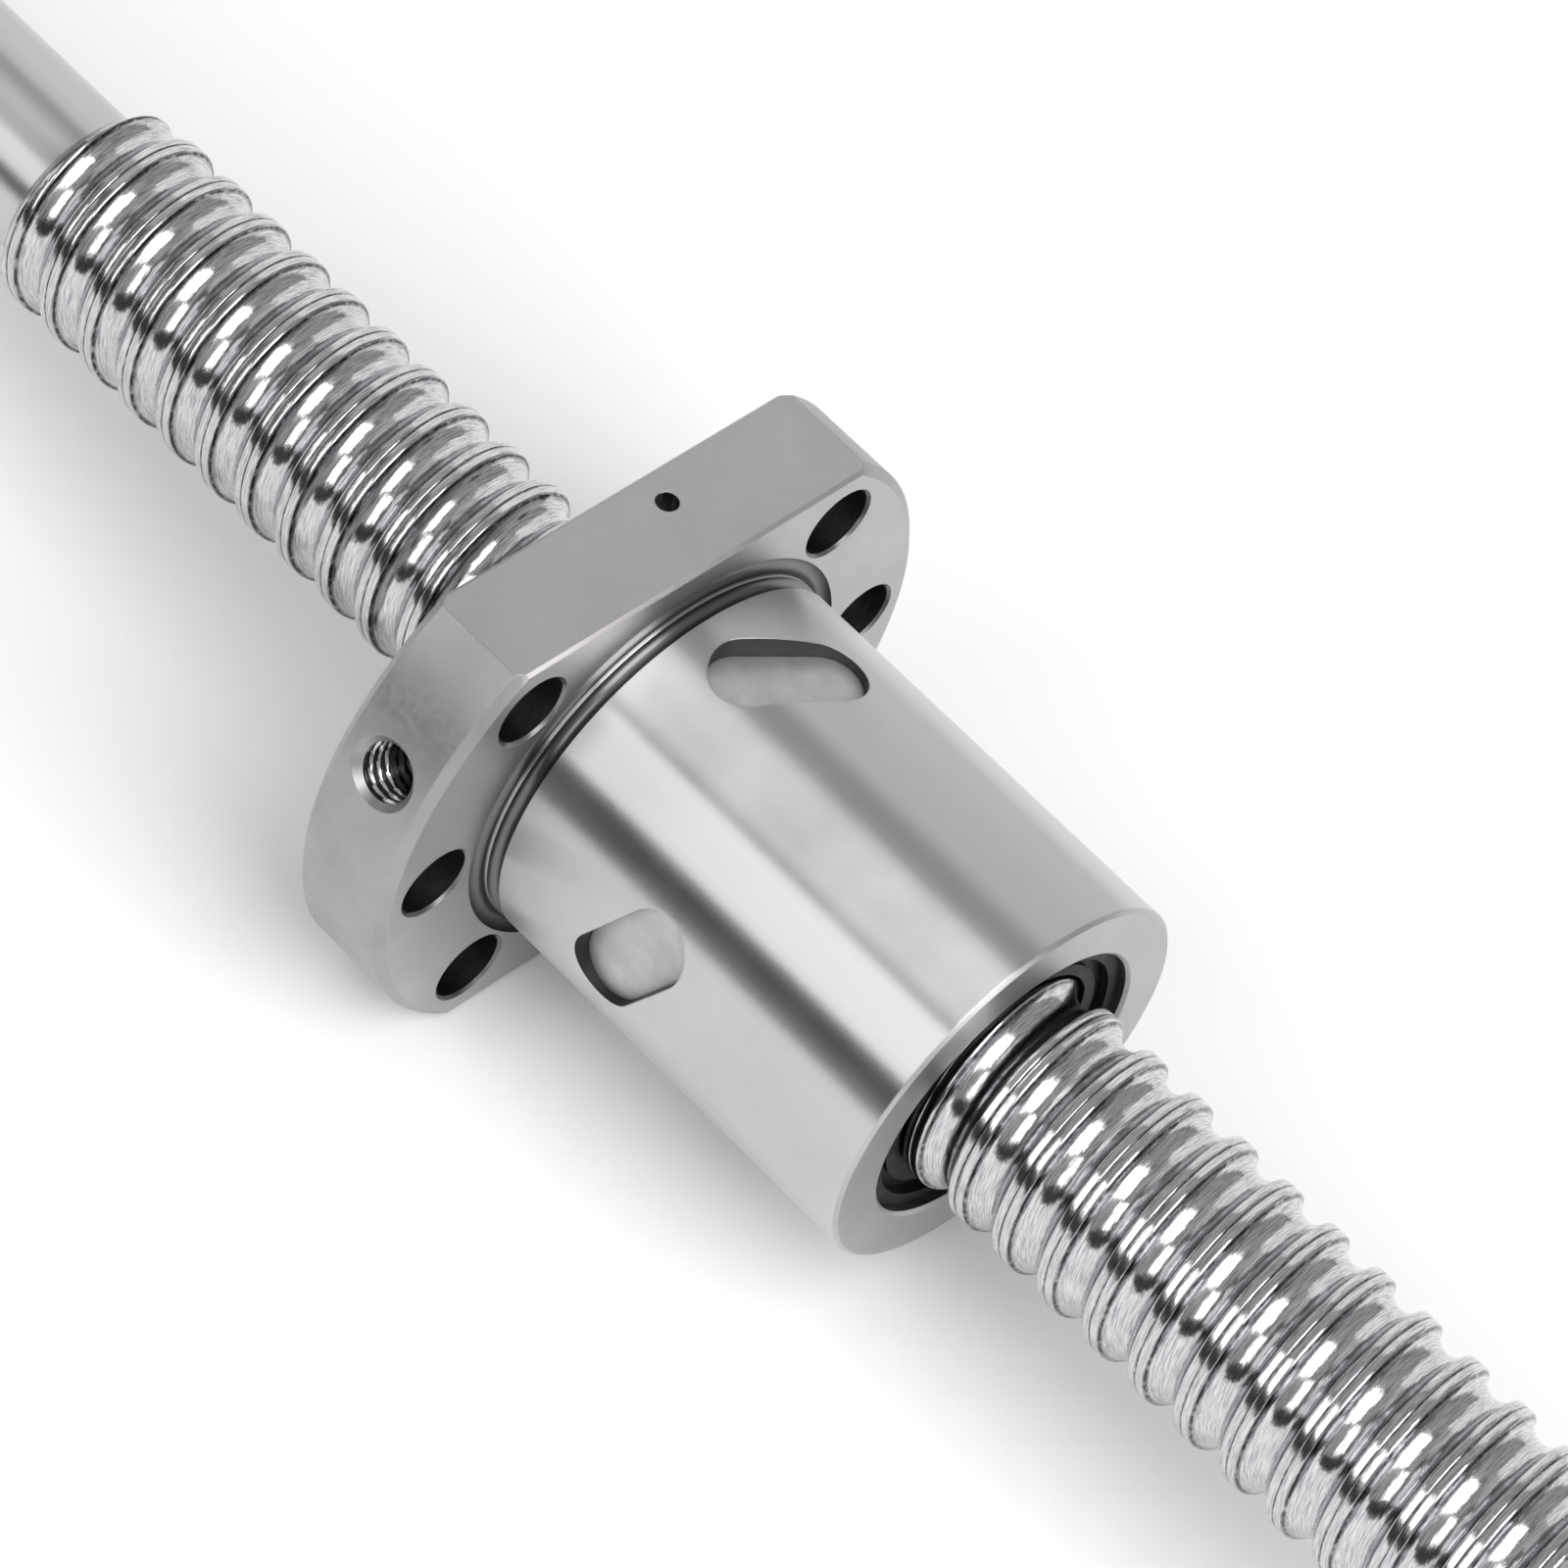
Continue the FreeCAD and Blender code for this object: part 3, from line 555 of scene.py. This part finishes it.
def port_thread():
    """Tapped hole: radius = tap radius + depth of a 60 degree vee that climbs one pitch a turn.

    The vee fades in over half a pitch below the countersink, and out at the bottom.
    """
    side = np.array([0.0, -math.sin(PORT_ANGLE), math.cos(PORT_ANGLE)])
    along_x = np.array([1.0, 0.0, 0.0])
    mouth = PORT_MOUTH_RADIUS - PORT_TAP_RADIUS
    depth = np.linspace(mouth, PORT_DEPTH, PORT_STEPS_DOWN + 1)[None, :]
    angle = np.linspace(0, 2 * math.pi, PORT_STEPS_ROUND + 1)[:, None]
    wave = np.abs((depth / PORT_PITCH - angle / (2 * math.pi)) % 1 - 0.5) * 2
    vee = np.clip((wave - PORT_ROOT_SHARE) / (1 - 2 * PORT_ROOT_SHARE), 0, 1)
    fade = np.clip((depth - mouth) / (PORT_PITCH / 2), 0, 1)
    fade = fade * np.clip((PORT_DEPTH - depth) / PORT_PITCH, 0, 1)
    radius = PORT_TAP_RADIUS + (PORT_THREAD_RADIUS - PORT_TAP_RADIUS) * vee * fade
    ring = np.cos(angle)[..., None] * along_x + np.sin(angle)[..., None] * side
    points = radius[..., None] * ring + (FLANGE_RADIUS - depth)[..., None] * PORT_AXIS + PORT_CENTRE
    mesh = mesh_from_grid("oil_port_thread", points)
    mesh.flip_normals()
    return mesh


def relief_grooves():
    """Two round grooves turned about the axis, in the flange's face and in the barrel's foot.

    Each is half an ellipse between its two edges, and a narrow ridge at the barrel's radius stands
    between them.
    """
    half_turn = np.linspace(0, math.pi, GROOVE_STEPS + 1)
    middle = (RELIEF_RADIUS + BARREL_RADIUS) / 2
    half = (RELIEF_RADIUS - BARREL_RADIUS) / 2
    face_x = RIDGE_START * half_turn / math.pi - RELIEF_DEPTH * np.sin(half_turn)
    face_radius = middle + half * np.cos(half_turn)
    foot_x = (RIDGE_END + NECK_END) / 2 - (NECK_END - RIDGE_END) / 2 * np.cos(half_turn)
    foot_radius = BARREL_RADIUS - (BARREL_RADIUS - NECK_RADIUS) * np.sin(half_turn)
    x = np.concatenate([face_x, foot_x])[None, :]
    radius = np.concatenate([face_radius, foot_radius])[None, :]
    angle = np.linspace(0, 2 * math.pi, GROOVE_STEPS_ROUND + 1)[:, None]
    points = np.stack([x + 0 * angle, radius * np.cos(angle), radius * np.sin(angle)], -1)
    return mesh_from_grid("relief_grooves", points)


nut_mesh = nut_skin()
take_out(nut_mesh, on_port_wall(nut_mesh) | on_relief_wall(nut_mesh))
barrel_finish = ground_barrel()
nut_materials = [
    drilled_bore(), barrel_finish, milled_flats(), ground_face(), shaded_window_wall(), turned_rim()
]
nut = put("nut", nut_mesh, "nut", nut_materials, 28)
set_finishes(nut_mesh, nut_finishes(nut_mesh))
round_off(nut_mesh)
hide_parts("nut_body")

# Painted highlight on the port thread's crests near its mouth; painted shade, near-black, on its roots
# and deep half.
port_mesh = port_thread()
port_materials = [tapped_thread("painted_shade_thread", 0.035), tapped_thread("painted_highlight_crests", 0.6)]
put("oil_port_thread", port_mesh, "nut", port_materials, 30)
port_out, port_away = port_distances(face_arrays(port_mesh)[0])
crest_limit = PORT_TAP_RADIUS + PORT_CREST_SHARE * (PORT_THREAD_RADIUS - PORT_TAP_RADIUS)
lit_near_mouth = port_out > FLANGE_RADIUS - PORT_DEPTH / 2
set_finishes(port_mesh, lit_near_mouth & (port_away < crest_limit))

# The ridge between the grooves is ground with the barrel.
relief_mesh = relief_grooves()
put("relief_grooves", relief_mesh, "nut", [turned_groove(), barrel_finish], 35)
relief_places, _ = face_arrays(relief_mesh)
on_ridge = (relief_places[:, 0] > RIDGE_START) & (relief_places[:, 0] < RIDGE_END)
on_ridge &= np.hypot(relief_places[:, 1], relief_places[:, 2]) > BARREL_RADIUS - FACET_SAG
set_finishes(relief_mesh, on_ridge)


# Deflectors
# Four inserts of sintered steel, pressed into windows of the barrel. Each has a flat top and, on
# its inner side, the curved channel that lifts the balls over a land back to where they started.


def sintered_steel():
    """Pressed and sintered: pale, matt, finely pitted."""
    material, tree, shader = start_material("sintered_steel", roughness=0.58)
    pits = even_noise(tree, 1500, detail=4.0)
    clouds = even_noise(tree, 400)
    colour = tint(tree, clouds, (0.5, 0.5, 0.5), (0.62, 0.62, 0.62))
    tree.links.new(colour, shader.inputs["Base Color"])
    add_bump(tree, shader, [(pits, 8e-6), (clouds, 15e-6)], 2 * EDGE_RADIUS)
    return material


def dress(node, material):
    """Give a piece that is shown as its solid a finish and a slot."""
    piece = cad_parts[node]
    piece.data.materials.clear()
    piece.data.materials.append(material)


insert_finish = sintered_steel()
for number in range(1, 5):
    dress(f"deflector_{number}", insert_finish)


# Balls
# Bearing balls, 3.175 mm, ground and lapped to a mirror. Each of the four circuits holds twenty,
# side by side in the track.


def lapped_steel():
    """Lapped steel with a faint film of grease."""
    material, tree, shader = start_material("lapped_steel", (0.74, 0.74, 0.75))
    film = even_noise(tree, 700, detail=2.0)
    tree.links.new(spread(tree, film, 0.04, 0.12), shader.inputs["Roughness"])
    return material


ball_finish = lapped_steel()
for number in range(1, 5):
    dress(f"ball_circuit_{number}", ball_finish)


# Wiper and seal ring
# Moulded black plastic. The wiper sits in the recess at the barrel's end, and a rib of thread
# form inside it sweeps the track clean. The ring closes the flange end of the bore.


def moulded_black():
    """Black moulding with fine turned marks and little shine."""
    material, tree, shader = start_material("moulded_black", (0.012, 0.012, 0.013), metallic=0.0)
    shader.inputs["Specular IOR Level"].default_value = 0.12
    marks = stretched_noise(tree, "Object", (5000, 700, 700))
    tree.links.new(spread(tree, marks, 0.34, 0.5), shader.inputs["Roughness"])
    add_bump(tree, shader, [(marks, 4e-6)])
    return material


seal_finish = moulded_black()
for node in ("front_wiper", "rear_seal_ring"):
    dress(node, seal_finish)


# Studio
# A plain pale floor under the flange's lower flat. Bright panels, grey walls and one dark card
# round the part, which the camera doesn't see, give the steel its bands. A broad soft fill lights
# it from above without showing in the gloss.
FLOOR_HEIGHT = -0.0222
FLOOR_HALF_WIDTH = 3.0
FLOOR_GREY, FLOOR_ROUGHNESS = 0.92, 0.9
PANEL_DISTANCE = 1.2
FILL_WIDTH = 100
FILL_BRIGHTNESS = 0.45
WORLD_BRIGHTNESS = 0.16

# Name, degrees round X from +Y, degrees towards +X, degrees wide, degrees long, brightness
PANELS = (
    ("top_panel", 99, 41, 38, 58, 4.4),
    ("side_panel", 140.5, -1, 33, 40, 2.8),
    ("side_haze", 140, 42, 38, 44, 0.4),
    ("rear_panel", 142, -54, 38, 26, 1.0),
    ("ceiling", 90, -12, 56, 30, 0.45),
    ("rear_ceiling", 77, -39, 34, 26, 0.62),
    ("right_wall", 36, 24, 70, 60, 0.4),
    ("back_wall", 10, -28, 96, 50, 1.05),
    ("end_wall", 0, 87, 46, 46, 0.65),
    ("low_card", 171, -4, 20, 120, 0.03),
)


def flat_mesh(name, corners):
    """Mesh of one four-cornered face."""
    mesh = bpy.data.meshes.new(name)
    mesh.from_pydata([tuple(corner) for corner in corners], [], [(0, 1, 2, 3)])
    return mesh


def put_on_stage(name, mesh):
    """Object that lights or carries the part and isn't one of its pieces."""
    item = bpy.data.objects.new(name, mesh)
    bpy.context.scene.collection.objects.link(item)
    return item


def direction(around, along):
    """Unit vector at an angle about X, from +Y towards +Z, and an angle towards +X, in degrees."""
    turn, lean = math.radians(around), math.radians(along)
    return Vector((math.sin(lean), math.cos(lean) * math.cos(turn), math.cos(lean) * math.sin(turn)))


def facing_plane(name, around, along, width_degrees, length_degrees):
    """A rectangle that faces the part, so many degrees wide round X and long along X."""
    out = direction(around, along)
    lengthwise = (Vector((1, 0, 0)) - out * out.x).normalized()
    across = out.cross(lengthwise) * PANEL_DISTANCE * math.tan(math.radians(width_degrees / 2))
    lengthwise *= PANEL_DISTANCE * math.tan(math.radians(length_degrees / 2))
    centre = out * PANEL_DISTANCE
    corners = [centre + lengthwise * a + across * b for a, b in ((-1, -1), (1, -1), (1, 1), (-1, 1))]
    plane = put_on_stage(name, flat_mesh(name, corners))
    plane.visible_camera = False
    plane.visible_shadow = False
    return plane


def glow(plane, brightness):
    """Plain light of one brightness from a plane."""
    material = bpy.data.materials.new(plane.name)
    material.use_nodes = True
    tree = material.node_tree
    tree.nodes.clear()
    emission = tree.nodes.new("ShaderNodeEmission")
    emission.inputs["Color"].default_value = (1, 1, 1, 1)
    emission.inputs["Strength"].default_value = brightness
    output = tree.nodes.new("ShaderNodeOutputMaterial")
    tree.links.new(emission.outputs["Emission"], output.inputs["Surface"])
    plane.data.materials.append(material)


for name, around, along, width, length, brightness in PANELS:
    glow(facing_plane(name, around, along, width, length), brightness)

fill = facing_plane("fill", 90, 0, FILL_WIDTH, FILL_WIDTH)
fill.visible_glossy = False
glow(fill, FILL_BRIGHTNESS)

floor_corners = [
    (FLOOR_HALF_WIDTH * a, FLOOR_HALF_WIDTH * b, FLOOR_HEIGHT)
    for a, b in ((-1, -1), (1, -1), (1, 1), (-1, 1))
]
floor_mesh = flat_mesh("floor", floor_corners)
floor_finish, _, _ = start_material("floor", (FLOOR_GREY,) * 3, FLOOR_ROUGHNESS, metallic=0.0)
floor_mesh.materials.append(floor_finish)
put_on_stage("floor", floor_mesh)

world = bpy.data.worlds.new("studio")
world.use_nodes = True
world.node_tree.nodes["Background"].inputs["Color"].default_value = (1, 1, 1, 1)
world.node_tree.nodes["Background"].inputs["Strength"].default_value = WORLD_BRIGHTNESS
bpy.context.scene.world = world
bpy.context.scene.view_settings.view_transform = "Standard"


# Camera
# It looks down on the nut from the front right, rolled so that the screw runs corner to corner.
# The focal length and the target's place are those of the 1600 pixel photograph.
AZIMUTH, ELEVATION, ROLL = math.radians(34.62), math.radians(50.51), math.radians(15.82)
DISTANCE = 0.5496
FOCAL_PIXELS = 7017.0
PICTURE_PIXELS = 1600
SENSOR_WIDTH = 36.0
TARGET = Vector((0.005, 0, 0))
TARGET_PIXEL = (708.3, 803.7)
CLIP_START, CLIP_END = 0.01, 20.0

level = Vector((math.cos(AZIMUTH), math.sin(AZIMUTH), 0))
forward = Vector((-math.sin(AZIMUTH), math.cos(AZIMUTH), 0))
back = Vector((0, 0, math.sin(ELEVATION))) - forward * math.cos(ELEVATION)
upright = back.cross(level)
right = level * math.cos(ROLL) + upright * math.sin(ROLL)
up = upright * math.cos(ROLL) - level * math.sin(ROLL)
camera = bpy.data.objects.new("camera", bpy.data.cameras.new("camera"))
bpy.context.scene.collection.objects.link(camera)
camera.data.sensor_width = SENSOR_WIDTH
camera.data.lens = SENSOR_WIDTH * FOCAL_PIXELS / PICTURE_PIXELS
camera.data.clip_start, camera.data.clip_end = CLIP_START, CLIP_END
placed = Matrix((right, up, back)).transposed().to_4x4()
placed.translation = TARGET + back * DISTANCE
camera.matrix_world = placed
camera.data.shift_x = 0.5 - TARGET_PIXEL[0] / PICTURE_PIXELS
camera.data.shift_y = TARGET_PIXEL[1] / PICTURE_PIXELS - 0.5
bpy.context.scene.camera = camera
